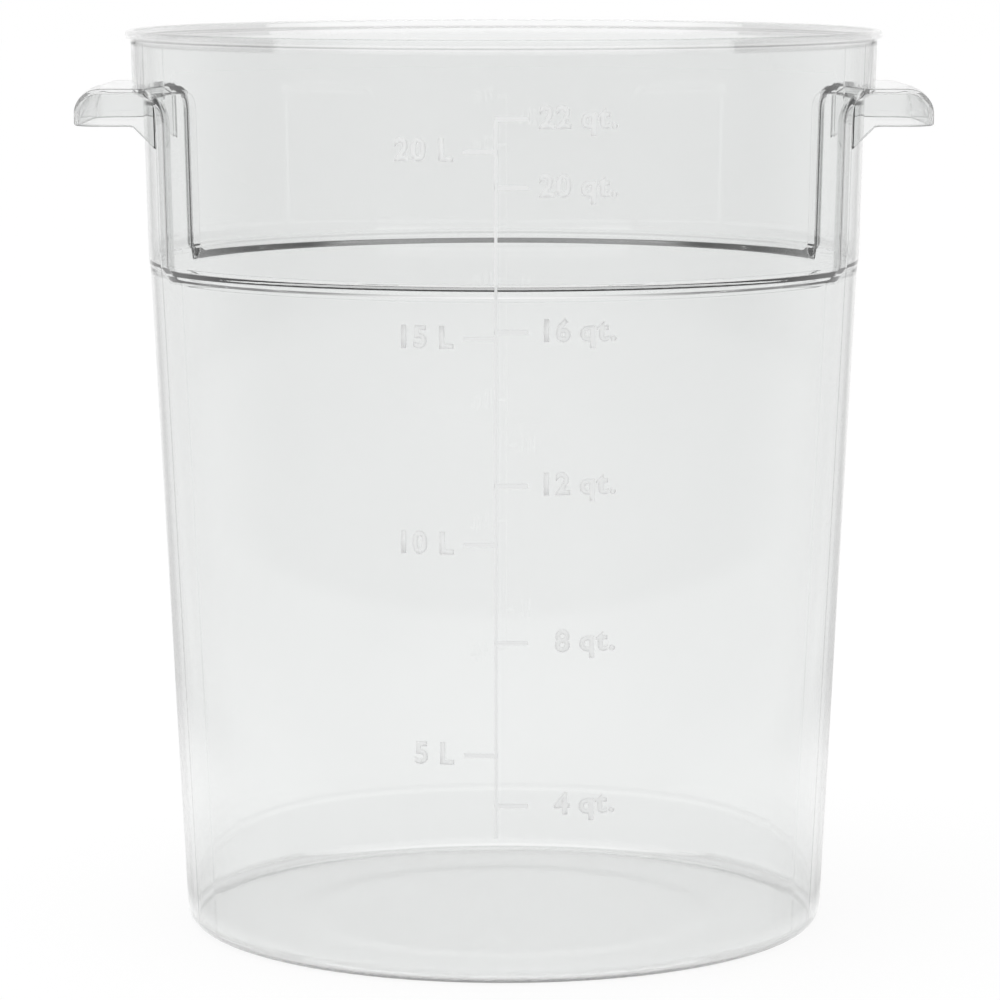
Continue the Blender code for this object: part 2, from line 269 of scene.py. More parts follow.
def arc(centre, radius, start, end, steps=FILLET_STEPS):
    """Points (across, height) of a round corner between two angles in degrees."""
    angles = np.radians(np.linspace(start, end, steps + 1))
    return [(centre[0] + radius * math.cos(a), centre[1] + radius * math.sin(a)) for a in angles]


def rounded_corner(before, corner, after, radius):
    """Points of the arc that rounds a corner between two straight lines."""
    back, ahead = unit(before - corner), unit(after - corner)
    half = math.acos(np.clip(np.dot(back, ahead), -1.0, 1.0)) / 2
    reach = radius / math.tan(half)
    centre = corner + unit(back + ahead) * radius / math.sin(half)
    start = corner + back * reach - centre
    end = corner + ahead * reach - centre
    turn = (math.atan2(end[1], end[0]) - math.atan2(start[1], start[0]) + math.pi) % (2 * math.pi) - math.pi
    angles = math.atan2(start[1], start[0]) + turn * np.linspace(0.0, 1.0, FILLET_STEPS + 1)
    return [centre + radius * np.array((math.cos(a), math.sin(a))) for a in angles]


def step_line(low, high, foot, top, roundings):
    """Rounded step from one radius to another between two heights, as (radius, height) points."""
    corners = np.array(((low, foot - STEP_TAIL), (low, foot), (high, top), (high, top + STEP_TAIL)))
    points = rounded_corner(*corners[:3], roundings[0])
    return np.array(points + rounded_corner(*corners[1:], roundings[1]))


# How far the ceiling of the recess lies below the top of the grips
CEILING_DROP = 2.4 * MM


class Shell:
    """The wall's outer and inner radius at any angle and height."""

    def __init__(self, sizes):
        self.sizes = sizes
        self.shoulder_top = sizes.shoulder + sizes.shoulder_rise
        self.band_end = TOP_HEIGHT - sizes.rim_height
        self.ceiling = GRIP_TOP_HEIGHT - CEILING_DROP
        self.outer_step = step_line(
            sizes.wall_top, sizes.band_bottom, sizes.shoulder, self.shoulder_top, sizes.shoulder_roundings)
        shelf_end = sizes.shelf + sizes.shelf_rise
        self.inner_step = step_line(
            sizes.wall_top, sizes.band_bottom, sizes.shelf, shelf_end, sizes.shelf_roundings)
        self.outer_side = step_line(-sizes.recess_depth, 0.0, 0.0, sizes.recess_side, sizes.recess_roundings)
        self.inner_side = step_line(
            -sizes.recess_depth, 0.0, 0.0, sizes.recess_inner_side, sizes.recess_inner_roundings)

    def lower_radius(self, height):
        """Outer radius of the tapered lower wall."""
        sizes = self.sizes
        share = (height - sizes.base_corner) / (sizes.shoulder - sizes.base_corner)
        foot = sizes.base_flat + sizes.base_corner
        return foot + (sizes.wall_top - foot) * share

    def band_radius(self, height):
        """Outer radius of the plain band."""
        sizes = self.sizes
        share = (height - self.shoulder_top) / (self.band_end - self.shoulder_top)
        return sizes.band_bottom + (sizes.band_top - sizes.band_bottom) * share

    def step_share(self, height, line):
        """How far a step line has gone out at a height: 0 on the lower wall, 1 on the band."""
        sizes = self.sizes
        radius = np.interp(height, line[:, 1], line[:, 0])
        return (radius - sizes.wall_top) / (sizes.band_bottom - sizes.wall_top)

    def recess_cut(self, angle, height, line, half_width, side):
        """How deep the recess lies at a place, from its side line and half width."""
        sizes = self.sizes
        from_grip = np.abs((angle + math.pi / 2) % math.pi - math.pi / 2) * sizes.band_bottom
        across = from_grip - (half_width - sizes.recess_corner)
        above = height - (self.ceiling - side - sizes.recess_corner)
        outside = np.hypot(np.maximum(across, 0.0), np.maximum(above, 0.0))
        distance = outside + np.minimum(np.maximum(across, above), 0.0) - sizes.recess_corner
        return -np.interp(distance, line[:, 1], line[:, 0])

    def radius(self, height, line, cut):
        """Radius from the base corner's top to the rim along a step line, less the recess."""
        step = self.step_share(height, line)
        low = self.lower_radius(np.minimum(height, self.sizes.shoulder))
        high = self.band_radius(np.maximum(height, self.shoulder_top)) - cut
        return low + (high - low) * step

    def outer(self, angle, height):
        """Outer radius."""
        sizes = self.sizes
        cut = self.recess_cut(angle, height, self.outer_side, sizes.recess_half_width, sizes.recess_side)
        return self.radius(height, self.outer_step, cut)

    def inner(self, angle, height):
        """Inner radius, with a nearly flat shelf behind the shoulder."""
        sizes = self.sizes
        cut = self.recess_cut(
            angle, height, self.inner_side, sizes.recess_inner_half_width, sizes.recess_inner_side)
        return self.radius(height, self.inner_step, cut) - sizes.wall


# Mesh columns in a quarter of the wall: wide ones on the recess floor, medium ones, fine ones from before the
# recess's outer side to past its inner side, and wide ones on the plain wall
COLUMN_COUNTS = (8, 6, 56, 20)
MEDIUM_COLUMNS = 8 * MM
FINE_BEFORE = 3 * MM
FINE_PAST = 2.5 * MM


def shell_angles(shell):
    """Angles of the mesh columns, close together at the sides of the recesses."""
    sizes = shell.sizes
    start = sizes.recess_half_width - FINE_BEFORE
    end = sizes.recess_inner_half_width + sizes.recess_inner_side + FINE_PAST
    stops = np.array((0.0, start - MEDIUM_COLUMNS, start, end)) / sizes.band_bottom
    ends = (*stops[1:], math.pi / 2)
    quarter = np.concatenate([np.linspace(low, high, count, endpoint=False)
                              for low, high, count in zip(stops, ends, COLUMN_COUNTS)])
    half = np.concatenate((quarter, [math.pi / 2], math.pi - quarter[:0:-1]))
    return np.concatenate((half, half + math.pi))


# Mesh rows of the wall from its foot up: the lower wall, the slope, the band, the recess's upper corners and
# the edge of its ceiling
LOWER_ROWS = 9
SLOPE_ROWS = 3
BAND_ROWS = 8
CORNER_ROWS = 11
EDGE_ROWS = 27
# Room left at both ends of the lower wall, and places measured from the ceiling
ROW_ROOM = 1 * MM
CORNER_BELOW = 16 * MM
EDGE_BELOW = 7 * MM
EDGE_ABOVE = 2.2 * MM


def wall_heights(shell, line):
    """Heights of the mesh rows from the wall's foot to the band's top, with the step's own points."""
    foot = shell.sizes.base_corner
    lower = np.concatenate(([foot], np.linspace(foot + ROW_ROOM, line[0, 1] - ROW_ROOM, LOWER_ROWS)))
    slope = np.linspace(line[FILLET_STEPS, 1], line[FILLET_STEPS + 1, 1], SLOPE_ROWS + 2)[1:-1]
    step = np.concatenate((line[:FILLET_STEPS + 1, 1], slope, line[FILLET_STEPS + 1:, 1]))
    corner_start, edge_start = shell.ceiling - CORNER_BELOW, shell.ceiling - EDGE_BELOW
    band = after_start(line[-1, 1], corner_start, BAND_ROWS)
    corner = after_start(corner_start, edge_start, CORNER_ROWS)
    edge = after_start(edge_start, shell.ceiling + EDGE_ABOVE, EDGE_ROWS)
    return lower, np.concatenate((step, band, corner, edge))


# Slope of the floor's top, in degrees, against its radius in millimetres
FLOOR_SLOPES = ((0.0, -0.03), (70.0, -0.03), (80.0, 0.0), (86.0, 0.5), (92.0, 0.05), (200.0, 0.05))
FLOOR_RINGS = 42


def floor_line(shell):
    """Section of the floor's top: the fillet, a slightly rising edge, a shallow trough and a low cone."""
    sizes = shell.sizes
    fillet = sizes.floor_fillet
    radii, slopes = np.array(FLOOR_SLOPES).T
    end = shell.lower_radius(0.0) - sizes.wall - fillet
    inside = np.linspace(0.0, end, FLOOR_RINGS)
    lean = np.tan(np.radians(np.interp(inside, radii * MM, slopes)))
    rise = np.concatenate(([0.0], np.cumsum((lean[1:] + lean[:-1]) / 2 * np.diff(inside))))
    fillet_height = sizes.floor + rise[-1] + fillet
    fillet_radius = shell.lower_radius(fillet_height) - sizes.wall - fillet
    line = arc((fillet_radius, fillet_height), fillet, 0.0, -90.0, BASE_ARC_STEPS)
    return line + [(radius, sizes.floor + up) for radius, up in zip(inside[-2:0:-1], rise[-2:0:-1])]


# Rounding between the band and the flange, and how far the flat base's own ring lies inside its edge
UNDER_RIM_ROUNDING = 0.8 * MM
FLAT_RING_INSET = 1 * MM


def shell_rows(shell, angles):
    """Rows of (radius, height) pairs, from the base's flat round the rim down to the floor."""
    sizes = shell.sizes
    ones = np.ones_like(angles)
    rows = []

    def add_rings(points):
        rows.extend((radius * ones, height * ones) for radius, height in points)

    def add_wall(radius_at, heights):
        rows.extend((radius_at(angles, height), height * ones) for height in heights)

    add_rings([(sizes.base_flat - FLAT_RING_INSET, 0.0)])
    add_rings(arc((sizes.base_flat, sizes.base_corner), sizes.base_corner, -90.0, 0.0, BASE_ARC_STEPS))
    lower, upper = wall_heights(shell, shell.outer_step)
    add_wall(shell.outer, np.concatenate((lower[1:], upper)))
    blend, under = UNDER_RIM_ROUNDING, shell.band_end
    add_rings(arc((sizes.band_top + blend, under - blend), blend, 180.0, 90.0, SMALL_ARC_STEPS))
    rounding = sizes.rim_rounding
    out = RIM_RADIUS - rounding
    add_rings(arc((out, under + rounding), rounding, -90.0, 0.0))
    add_rings(arc((out, TOP_HEIGHT - rounding), rounding, 0.0, 90.0))
    soft = sizes.rim_inner_rounding
    mouth = sizes.band_top - sizes.wall + soft
    add_rings(arc((mouth, TOP_HEIGHT - soft), soft, 90.0, 180.0, MOUTH_ARC_STEPS))
    floor = floor_line(shell)
    heights = np.concatenate(wall_heights(shell, shell.inner_step))[::-1]
    add_wall(shell.inner, heights[heights > floor[0][1]])
    add_rings(floor)
    return rows


def closed_grid(name, angles, rows, foot, top):
    """A closed mesh from rows of rings, with a pole on the axis at each end."""
    count = len(angles)
    points = []
    for radius, height in rows:
        points += zip(radius * np.cos(angles), radius * np.sin(angles), height)
    start = len(points)
    points += [(0.0, 0.0, foot), (0.0, 0.0, top)]
    faces = []
    after = [(index + 1) % count for index in range(count)]
    for row in range(len(rows) - 1):
        low, high = row * count, (row + 1) * count
        faces += [(low + i, low + j, high + j, high + i) for i, j in enumerate(after)]
    last = (len(rows) - 1) * count
    faces += [(start, j, i) for i, j in enumerate(after)]
    faces += [(start + 1, last + i, last + j) for i, j in enumerate(after)]
    mesh = bpy.data.meshes.new(name)
    mesh.from_pydata([tuple(float(c) for c in point) for point in points], [], faces)
    mesh.update()
    return linked(name, mesh)


def linked(name, mesh):
    """A new object in the scene."""
    item = bpy.data.objects.new(name, mesh)
    bpy.context.collection.objects.link(item)
    return item


def evaluated_mesh(item):
    """A new mesh with the shape that an object's text or modifiers give it."""
    bpy.context.view_layer.update()
    return bpy.data.meshes.new_from_object(item.evaluated_get(bpy.context.evaluated_depsgraph_get()))


def apply_modifiers(item):
    """Puts what an object's modifiers do into its own mesh."""
    result = evaluated_mesh(item)
    item.modifiers.clear()
    item.data = result


# Edges that bend more than this are shaded sharp
SHARP_ANGLE = math.radians(40.0)


def flat_faces_kept(item):
    """Smooth shading whose normals follow the large faces, so flat walls bend no light."""
    item.data.shade_smooth()
    item.data.set_sharp_from_angle(angle=SHARP_ANGLE)
    modifier = item.modifiers.new("normals", "WEIGHTED_NORMAL")
    modifier.keep_sharp = True
    apply_modifiers(item)


def boolean(item, operation, other):
    """Cuts or joins another object into this one at once and removes the other."""
    modifier = item.modifiers.new("shape", "BOOLEAN")
    modifier.operation = operation
    modifier.solver = "EXACT"
    modifier.object = other
    apply_modifiers(item)
    bpy.data.objects.remove(other)


# Points along the grip's plan: each straight side, each corner and half of the bowed front
GRIP_SIDE_POINTS = 15
GRIP_CORNER_STEPS = 18
GRIP_BOW_POINTS = 8
# How deep the end walls reach into the wall before they are cut back, and how far over the grip's foot they
# meet it
ROOT_DEPTH = 5 * MM
ROOT_RISE = 4 * MM


def grip_root(shell):
    """How far out the wall stands where the grip's two end walls meet it."""
    wall_line = shell.outer(0.0, GRIP_FOOT_HEIGHT + ROOT_RISE)
    return math.sqrt(wall_line ** 2 - GRIP_HALF_WIDTH ** 2)


def grip_outline(shell, grip):
    """Points and outward normals along the grip's plan, from one root to the other."""
    half, corner = GRIP_HALF_WIDTH, grip.corner
    edge = GRIP_TIP - grip.bow
    root = grip_root(shell) - ROOT_DEPTH
    points = [(x, -half) for x in np.linspace(root, edge - corner, GRIP_SIDE_POINTS, endpoint=False)]
    normals = [(0.0, -1.0)] * len(points)
    for angle in np.radians(np.linspace(-90.0, 0.0, GRIP_CORNER_STEPS + 1)):
        direction = (math.cos(angle), math.sin(angle))
        points.append((edge - corner + corner * direction[0], corner - half + corner * direction[1]))
        normals.append(direction)
    for share in after_start(0.0, 0.5, GRIP_BOW_POINTS):
        points.append((edge + grip.bow * (1 - (2 * share - 1) ** 2), (corner - half) * (1 - 2 * share)))
        slope = 2 * grip.bow * (1 - 2 * share) / (half - corner)
        length = math.hypot(1.0, slope)
        normals.append((1.0 / length, -slope / length))
    tail = [(x, -y) for x, y in reversed(points[:-1])]
    tail_normals = [(x, -y) for x, y in reversed(normals[:-1])]
    return points + tail, normals + tail_normals


def quarter_drop(inset, radius):
    """How far a rounded edge has fallen below the flat top at an inset from its side."""
    left = np.clip(radius - inset, 0.0, radius)
    return radius - np.sqrt(radius ** 2 - left ** 2)


def top_drop(inset, normal, setback, front_radius, side_radius):
    """Fall of the grip's top at an inset: a large rounding at the front, a small one at the sides."""
    front = max(0.0, normal[0])
    side_share = 1.0 - ease(front)
    return quarter_drop(setback + inset * front, front_radius) + side_share * quarter_drop(inset, side_radius)


# Insets at which the grip's top is drawn, how far the last one stays from the corner's middle, and the inner
# rounding of the top's two side edges
INSET_COUNT = 19
INSET_ROOM = 0.5 * MM
INNER_SIDE_ROUNDING = 0.3 * MM


def grip_section(shell, grip, point, normal):
    """Section of the grip at one outline point: outer points from the lip up, inner points down again."""
    thick, lip = grip.thickness, grip.lip_rounding
    top = GRIP_TOP_HEIGHT
    foot = top - grip.drop
    bottom = min(foot, foot - (grip_root(shell) + grip.gusset - point[0]))
    setback = max(0.0, GRIP_TIP - grip.bow - point[0])
    insets = (grip.corner - INSET_ROOM) * np.linspace(0.0, 1.0, INSET_COUNT) ** 2
    drops = top_drop(insets, normal, setback, grip.front_rounding, grip.side_rounding)
    outer = arc((lip, bottom + lip), -lip, 90.0, 0.0, SMALL_ARC_STEPS)
    outer += list(zip(insets, top - drops))
    inside = grip.corner - thick
    insets = (inside - INSET_ROOM) * np.linspace(1.0, 0.0, INSET_COUNT) ** 2
    setback = setback * inside / grip.corner
    drops = top_drop(insets, normal, setback, grip.front_rounding - thick, INNER_SIDE_ROUNDING)
    inner = list(zip(thick + insets, top - thick - drops))
    inner += arc((thick - lip, bottom + lip), -lip, 180.0, 90.0, SMALL_ARC_STEPS)
    return [[(point[0] - normal[0] * inset, point[1] - normal[1] * inset, height) for inset, height in side]
            for side in (outer, inner)]


def grip_solid(shell, grip, name):
    """The hollow grip: a thin tray upside down, with a turned-down lip and two end walls."""
    points, normals = grip_outline(shell, grip)
    work = bmesh.new()
    outer, inner = [], []
    for point, normal in zip(points, normals):
        outside, inside = grip_section(shell, grip, point, normal)
        outer.append([work.verts.new(p) for p in outside])
        inner.append([work.verts.new(p) for p in inside])
    for side in (outer, inner):
        for left, right in zip(side, side[1:]):
            for step in range(len(left) - 1):
                work.faces.new((left[step], right[step], right[step + 1], left[step + 1]))
    for (low, high), (next_low, next_high) in zip(zip(outer, inner), zip(outer[1:], inner[1:])):
        work.faces.new((high[-1], next_high[-1], next_low[0], low[0]))
    work.faces.new([column[-1] for column in outer])
    work.faces.new([column[0] for column in reversed(inner)])
    cap = list(outer[0]) + list(reversed(outer[-1])) + list(reversed(inner[-1])) + list(inner[0])
    work.faces.new(cap)
    bmesh.ops.recalc_face_normals(work, faces=work.faces)
    mesh = bpy.data.meshes.new(name)
    work.to_mesh(mesh)
    work.free()
    return linked(name, mesh)


# The space that a grip's root is cut back to: how far it reaches below and above the grip, its mesh rows, and
# the fine ones round the recess's ceiling
CUT_BELOW = 15 * MM
CUT_ABOVE = 5 * MM
CUT_ROWS = 6
CUT_FINE_ROWS = 17
CUT_FINE_BELOW = 4 * MM
CUT_FINE_ABOVE = 1 * MM


def mid_wall_solid(shell, angles, name):
    """The space inside the middle of the wall, which each grip's root is cut back to."""
    low, high = GRIP_FOOT_HEIGHT - CUT_BELOW, GRIP_TOP_HEIGHT + CUT_ABOVE
    fine = shell.ceiling - CUT_FINE_BELOW
    fine_rows = after_start(fine, shell.ceiling + CUT_FINE_ABOVE, CUT_FINE_ROWS)
    heights = np.concatenate((np.linspace(low, fine, CUT_ROWS), fine_rows, [high]))
    half_wall = shell.sizes.wall / 2
    rows = [(shell.outer(angles, height) - half_wall, height * np.ones_like(angles)) for height in heights]
    return closed_grid(name, angles, rows, low, high)


class Nodes:
    """Adds and links the nodes of one shader tree."""

    def __init__(self, owner):
        owner.use_nodes = True
        self.tree = owner.node_tree

    def add(self, kind, **values):
        """A node of a kind, with values set on the inputs of these names."""
        node = self.tree.nodes.new(kind)
        for name, value in values.items():
            self.feed(node.inputs[name], value)
        return node

    def feed(self, socket, value):
        """Links a socket to an input, or sets the input's own value."""
        if isinstance(value, bpy.types.NodeSocket):
            self.tree.links.new(value, socket)
        else:
            socket.default_value = value

    def maths(self, operation, *values):
        """The result of a Math node."""
        node = self.tree.nodes.new("ShaderNodeMath")
        node.operation = operation
        for socket, value in zip(node.inputs, values):
            self.feed(socket, value)
        return node.outputs[0]

    def ramp(self, value, low, high, start, end):
        """A smooth change from start to end while a value goes from low to high."""
        node = self.tree.nodes.new("ShaderNodeMapRange")
        node.interpolation_type = "SMOOTHSTEP"
        for socket, number in zip(node.inputs, (value, low, high, start, end)):
            self.feed(socket, number)
        return node.outputs[0]

    def mix(self, share, first, second):
        """A value between two others."""
        left = self.maths("MULTIPLY", first, self.maths("SUBTRACT", 1.0, share))
        return self.maths("MULTIPLY_ADD", second, share, left)


# Between these two values a noise texture has most of its change
NOISE_RANGE = (0.3, 0.7)
# Grain of the drift in the clear plastic's tone, and of the frosted face
CLOUD_SCALE = 14.0
CLOUD_DETAIL = 2.0
FROST_SCALE = 2200.0
FROST_DETAIL = 3.0
FROST_ROUGHNESS = (0.38, 0.62)
# Height over which the frosted underside ends
UNDERSIDE_HEIGHTS = (0.1 * MM, 1.2 * MM)
# Where part of the view passes straight through: on the grips, at the rim and at the lower edge. Each pair
# bounds the change, as heights or as distances from the middle
GRIP_DISTANCES = (147.0 * MM, 153.0 * MM)
GRIP_HEIGHTS = (318.0 * MM, 326.0 * MM)
RIM_HEIGHTS = (368.5 * MM, 370.5 * MM)
EDGE_DISTANCES = (126.0 * MM, 128.0 * MM)
EDGE_HEIGHTS = (4.0 * MM, 7.0 * MM)


def clear_material(finish):
    """Clear, polished, very slightly grey-green moulded plastic with a finely frosted underside."""
    material = bpy.data.materials.new("clear_polycarbonate")
    nodes = Nodes(material)
    shader = nodes.tree.nodes["Principled BSDF"]
    shader.inputs["IOR"].default_value = finish.refraction
    shader.inputs["Transmission Weight"].default_value = 1.0
    place = nodes.add("ShaderNodeTexCoord").outputs["Object"]
    flow = nodes.add("ShaderNodeTexNoise", Vector=place, Scale=CLOUD_SCALE, Detail=CLOUD_DETAIL)
    drift = finish.cloud / 2
    tone = nodes.ramp(flow.outputs["Fac"], *NOISE_RANGE, 1.0 - drift, 1.0 + drift)
    tint = nodes.add("ShaderNodeVectorMath", Vector=finish.clear)
    tint.operation = "SCALE"
    nodes.feed(tint.inputs["Scale"], tone)
    nodes.feed(shader.inputs["Base Color"], tint.outputs["Vector"])
    split = nodes.add("ShaderNodeSeparateXYZ", Vector=place)
    height = split.outputs["Z"]
    under = nodes.ramp(height, *UNDERSIDE_HEIGHTS, 1.0, 0.0)
    nodes.feed(shader.inputs["Roughness"], nodes.mix(under, finish.roughness, finish.underside))
    side = nodes.ramp(nodes.maths("ABSOLUTE", split.outputs["X"]), *GRIP_DISTANCES, 0.0, 1.0)
    grip = nodes.maths("MULTIPLY", side, nodes.ramp(height, *GRIP_HEIGHTS, 0.0, 1.0))
    rim = nodes.ramp(height, *RIM_HEIGHTS, 0.0, 1.0)
    distance = nodes.add("ShaderNodeVectorMath", Vector=place)
    distance.operation = "LENGTH"
    outside = nodes.ramp(distance.outputs["Value"], *EDGE_DISTANCES, 0.0, 1.0)
    edge = nodes.maths("MULTIPLY", nodes.ramp(height, *EDGE_HEIGHTS, 1.0, 0.0), outside)
    cover = nodes.mix(rim, nodes.mix(grip, 1.0, finish.grip_cover), finish.rim_cover)
    nodes.feed(shader.inputs["Alpha"], nodes.mix(edge, cover, finish.edge_cover))
    return material


class CONTAINER_OT_moulding(bpy.types.Operator):
    """Build the clear moulding: tub, rim and both grips in one closed mesh."""

    bl_idname = "container.moulding"
    bl_label = "Clear moulding"

    def execute(self, context):
        scene = context.scene
        shell = Shell(scene.container_moulding)
        angles = shell_angles(shell)
        body = closed_grid("clear_moulding", angles, shell_rows(shell, angles), 0.0, shell.sizes.floor)
        for turn in (0.0, math.pi):
            grip = grip_solid(shell, scene.container_grip, "grip")
            boolean(grip, "DIFFERENCE", mid_wall_solid(shell, angles, "mid_wall"))
            if turn:
                grip.data.transform(Matrix.Rotation(turn, 4, "Z"))
            boolean(body, "UNION", grip)
        flat_faces_kept(body)
        body.data.materials.clear()
        body.data.materials.append(clear_material(scene.container_finish))
        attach(body, "root")
        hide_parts("tub", "rim", "handle_left", "handle_right")
        return {"FINISHED"}


# Each mark's amount and its height as a share of the container's. The 8 and 12 quart marks and the 10 litre
# mark come from the volume, the others from the photograph. The line's lower end is such a share too
QUART_MARK_SHARES = ((4, 0.1963), (8, 0.3712), (12, 0.5379), (16, 0.6987), (20, 0.8493), (22, 0.9195))
LITRE_MARK_SHARES = ((5, 0.2504), (10, 0.4752), (15, 0.6917), (20, 0.8861))
LINE_END_SHARE = 0.161
# Gap between the marks and the wall
MARK_GAP = 0.03 * MM
# Mesh columns of a tick, mesh rows of the line below, on and above the shoulder, how far the middle ones
# reach past it, and widest strip of a numeral, so that all of them can bend with the wall
TICK_COLUMNS = 9
LINE_LOW_ROWS = 30
LINE_STEP_ROWS = 39
LINE_HIGH_ROWS = 11
LINE_STEP_ROOM = 1 * MM
STRIP_WIDTH = 1.5 * MM
# Weight and spacing of the numerals, steps in their curves and how near two of their points are one point, in
# the font's own measure
FIGURE_WEIGHT = 0.034
FIGURE_SPACING = 1.12
FIGURE_CURVE_STEPS = 4
WELD_DISTANCE = 1e-4


def tick_tree():
    """Geometry nodes that set one tick on each point."""
    tree = bpy.data.node_groups.new("scale_ticks", "GeometryNodeTree")
    tree.interface.new_socket("Geometry", in_out="INPUT", socket_type="NodeSocketGeometry")
    for name in ("Tick length", "Tick height", "Relief"):
        tree.interface.new_socket(name, in_out="INPUT", socket_type="NodeSocketFloat")
    tree.interface.new_socket("Finish", in_out="INPUT", socket_type="NodeSocketMaterial")
    tree.interface.new_socket("Geometry", in_out="OUTPUT", socket_type="NodeSocketGeometry")
    source = tree.nodes.new("NodeGroupInput")
    size = tree.nodes.new("ShaderNodeCombineXYZ")
    block = tree.nodes.new("GeometryNodeMeshCube")
    block.inputs["Vertices X"].default_value = TICK_COLUMNS
    spread = tree.nodes.new("GeometryNodeInstanceOnPoints")
    realize = tree.nodes.new("GeometryNodeRealizeInstances")
    finish = tree.nodes.new("GeometryNodeSetMaterial")
    result = tree.nodes.new("NodeGroupOutput")
    link = tree.links.new
    link(source.outputs["Tick length"], size.inputs["X"])
    link(source.outputs["Relief"], size.inputs["Y"])
    link(source.outputs["Tick height"], size.inputs["Z"])
    link(size.outputs["Vector"], block.inputs["Size"])
    link(source.outputs["Geometry"], spread.inputs["Points"])
    link(block.outputs["Mesh"], spread.inputs["Instance"])
    link(spread.outputs["Instances"], realize.inputs["Geometry"])
    link(realize.outputs["Geometry"], finish.inputs["Geometry"])
    link(source.outputs["Finish"], finish.inputs["Material"])
    link(finish.outputs["Geometry"], result.inputs["Geometry"])
    return tree


def flat_ticks(marks, finish):
    """The ticks of both scales, still flat, from the node group."""
    middle = marks.side_shift + marks.tick_length / 2
    places = [(middle, 0.0, share * TOP_HEIGHT) for _, share in QUART_MARK_SHARES]
    places += [(middle - marks.tick_length, 0.0, share * TOP_HEIGHT) for _, share in LITRE_MARK_SHARES]
    mesh = bpy.data.meshes.new("tick_places")
    mesh.from_pydata(places, [], [])
    ticks = linked("ticks", mesh)
    modifier = ticks.modifiers.new("ticks", "NODES")
    tree = tick_tree()
    modifier.node_group = tree
    values = {"Tick length": marks.tick_length + marks.line, "Tick height": marks.tick_height,
              "Relief": marks.relief, "Finish": finish}
    for item in tree.interface.items_tree:
        if item.in_out == "INPUT" and item.name in values:
            modifier[item.identifier] = values[item.name]
    apply_modifiers(ticks)
    return ticks


def flat_line(marks, shell):
    """The upright line, still flat, with short rows where it climbs the shoulder."""
    low = LINE_END_SHARE * TOP_HEIGHT
    high = QUART_MARK_SHARES[-1][1] * TOP_HEIGHT + marks.tick_height / 2
    start, end = shell.sizes.shoulder - LINE_STEP_ROOM, shell.shoulder_top + LINE_STEP_ROOM
    rows = np.concatenate((np.linspace(low, start, LINE_LOW_ROWS), after_start(start, end, LINE_STEP_ROWS),
                           after_start(end, high, LINE_HIGH_ROWS)))
    half, deep = marks.line / 2, marks.relief / 2
    corners = ((-half, -deep), (half, -deep), (half, deep), (-half, deep))
    points = [(marks.side_shift + x, y, height) for height in rows for x, y in corners]
    faces = []
    for first in range(0, len(points) - 4, 4):
        for corner in range(4):
            after = (corner + 1) % 4
            faces.append((first + corner, first + after, first + 4 + after, first + 4 + corner))
    last = len(points) - 4
    faces += [(3, 2, 1, 0), (last, last + 1, last + 2, last + 3)]
    mesh = bpy.data.meshes.new("line")
    mesh.from_pydata(points, [], faces)
    mesh.update()
    return linked("line", mesh)


def text_mesh(words):
    """Thin flat text that lies on its back, its lower left corner at the origin, at the font's own size."""
    data = bpy.data.curves.new("words", "FONT")
    data.body = words
    data.offset = FIGURE_WEIGHT
    data.space_character = FIGURE_SPACING
    data.resolution_u = FIGURE_CURVE_STEPS
    item = linked("words", data)
    mesh = evaluated_mesh(item)
    bpy.data.objects.remove(item)
    return mesh


def flat_words(words, marks, edge, height, align_right, size, width):
    """A numeral or unit, still flat, against its edge and centred on a height."""
    work = bmesh.new()
    work.from_mesh(text_mesh(words))
    bmesh.ops.remove_doubles(work, verts=work.verts, dist=WELD_DISTANCE)
    bmesh.ops.triangulate(work, faces=work.faces)
    bmesh.ops.beautify_fill(work, faces=work.faces, edges=work.edges)
    for vertex in work.verts:
        vertex.co = (vertex.co.x * size * width, marks.relief / 2, vertex.co.y * size)
    across = [vertex.co.x for vertex in work.verts]
    left, right = min(across), max(across)
    shift = edge - (right if align_right else left)
    base = height + marks.figure_rise - marks.figure_height / 2
    for vertex in work.verts:
        vertex.co.x += shift
        vertex.co.z += base
    steps = int((right - left) / STRIP_WIDTH) + 1
    for step in range(1, steps):
        place = left + shift + (right - left) * step / steps
        geometry = work.verts[:] + work.edges[:] + work.faces[:]
        bmesh.ops.bisect_plane(work, geom=geometry, plane_co=(place, 0.0, 0.0), plane_no=(1.0, 0.0, 0.0))
    grown = bmesh.ops.extrude_face_region(work, geom=work.faces[:])
    for item in grown["geom"]:
        if isinstance(item, bmesh.types.BMVert):
            item.co.y = -marks.relief / 2
    bmesh.ops.recalc_face_normals(work, faces=work.faces)
    result = bpy.data.meshes.new("words")
    work.to_mesh(result)
    work.free()
    return linked("words", result)


def figures(marks):
    """Every numeral and unit of both scales, still flat."""
    heights = [vertex.co.y for vertex in text_mesh("0").vertices]
    size = marks.figure_height / (max(heights) - min(heights))
    scales = ((QUART_MARK_SHARES, marks.digits_edge, "qt.", marks.unit_edge, marks.unit_width),
              (LITRE_MARK_SHARES, marks.litre_digits_edge, "L", marks.litre_unit_edge, marks.figure_width))
    made = []
    for shares, digits_edge, unit_words, unit_edge, unit_width in scales:
        for amount, share in shares:
            height = share * TOP_HEIGHT
            made.append(flat_words(str(amount), marks, digits_edge, height, True, size, marks.figure_width))
            made.append(flat_words(unit_words, marks, unit_edge, height, False, size, unit_width))
    return made


def joined(items, name):
    """One mesh object from several, at the origin."""
    work = bmesh.new()
    for item in items:
        work.from_mesh(item.data)
    mesh = bpy.data.meshes.new(name)
    work.to_mesh(mesh)
    work.free()
    for item in items:
        bpy.data.objects.remove(item)
    return linked(name, mesh)


